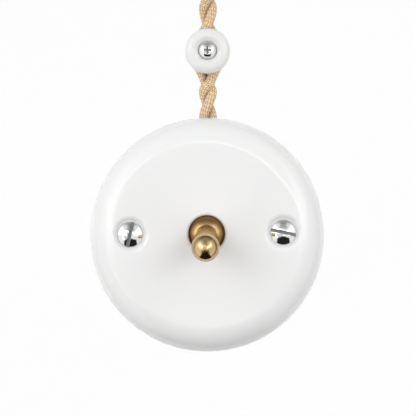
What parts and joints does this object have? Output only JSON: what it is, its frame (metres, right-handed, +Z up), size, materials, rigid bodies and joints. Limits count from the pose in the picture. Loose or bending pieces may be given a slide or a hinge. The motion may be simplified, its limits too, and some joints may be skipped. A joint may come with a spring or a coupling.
{
  "type": "toggle switch",
  "caption": "Surface-mounted round porcelain toggle switch with a ball-ended brass lever, fed by a twisted cotton cord held on porcelain knobs.",
  "frame": {"origin": "centre of the base's back face, which lies on the wall", "axes": "+Z up along the wall, +Y into the wall, so the lever side faces -Y; X to the right seen from the front"},
  "size_m": [0.085, 0.0593, 0.1488],
  "materials": {
    "porcelain": "glossy white glaze",
    "insulator_glaze": "glossy white glaze",
    "lever_brass": "turned and polished",
    "brass": "satin",
    "chrome": "polished",
    "steel": "satin",
    "silver": "satin",
    "copper": "bare wire",
    "bakelite": "moulded",
    "cotton": "braided cotton"
  },
  "bodies": {
    "switch": {"cover": "porcelain", "base": "porcelain", "cover_inserts": "brass", "cover_screws": "chrome", "bridge": "steel", "bridge_screws": "steel", "housing_screws": "steel", "housing": "bakelite", "rocker_pin": "steel", "common_strip": "brass", "upper_contact": "brass", "lower_contact": "brass", "fixed_contacts": "silver", "terminal_common": "brass", "terminal_upper": "brass", "terminal_lower": "brass", "terminal_screws": "steel", "terminal_rivets": "brass", "lead_left": "cotton", "lead_right": "cotton", "lead_conductors": "copper", "cable_strand_left": "cotton", "cable_strand_right": "cotton", "wall_insulator": "insulator_glaze", "end_insulator": "insulator_glaze", "insulator_screws": "chrome"},
    "lever": {"lever": "lever_brass", "lever_tail": "steel", "pivot_pin": "steel", "plunger_spring": "steel"},
    "plunger": {"plunger": "steel"},
    "rocker": {"rocker": "brass", "moving_contacts": "silver"}
  },
  "joints": [
    {"name": "lever_tilt", "type": "hinge", "parent": "switch", "child": "lever", "pos_m": [0, -0.031, 0], "axis": [-1, 0, 0], "range_deg": [0, 28]},
    {"name": "plunger_slide", "type": "slide", "parent": "lever", "child": "plunger", "axis": [0, -0.9703, -0.2419], "range_m": [0, 0.0008], "stiffness_N_per_m": 400, "springref_m": -0.002, "deforming": ["plunger_spring"]},
    {"name": "rocker_swing", "type": "hinge", "parent": "switch", "child": "rocker", "pos_m": [0, -0.0104, 0], "axis": [1, 0, 0], "range_deg": [0, 16]}
  ],
  "couplings": [
    {"joint": "rocker_swing", "follows": "lever_tilt", "ratio": 0.5714}
  ]
}
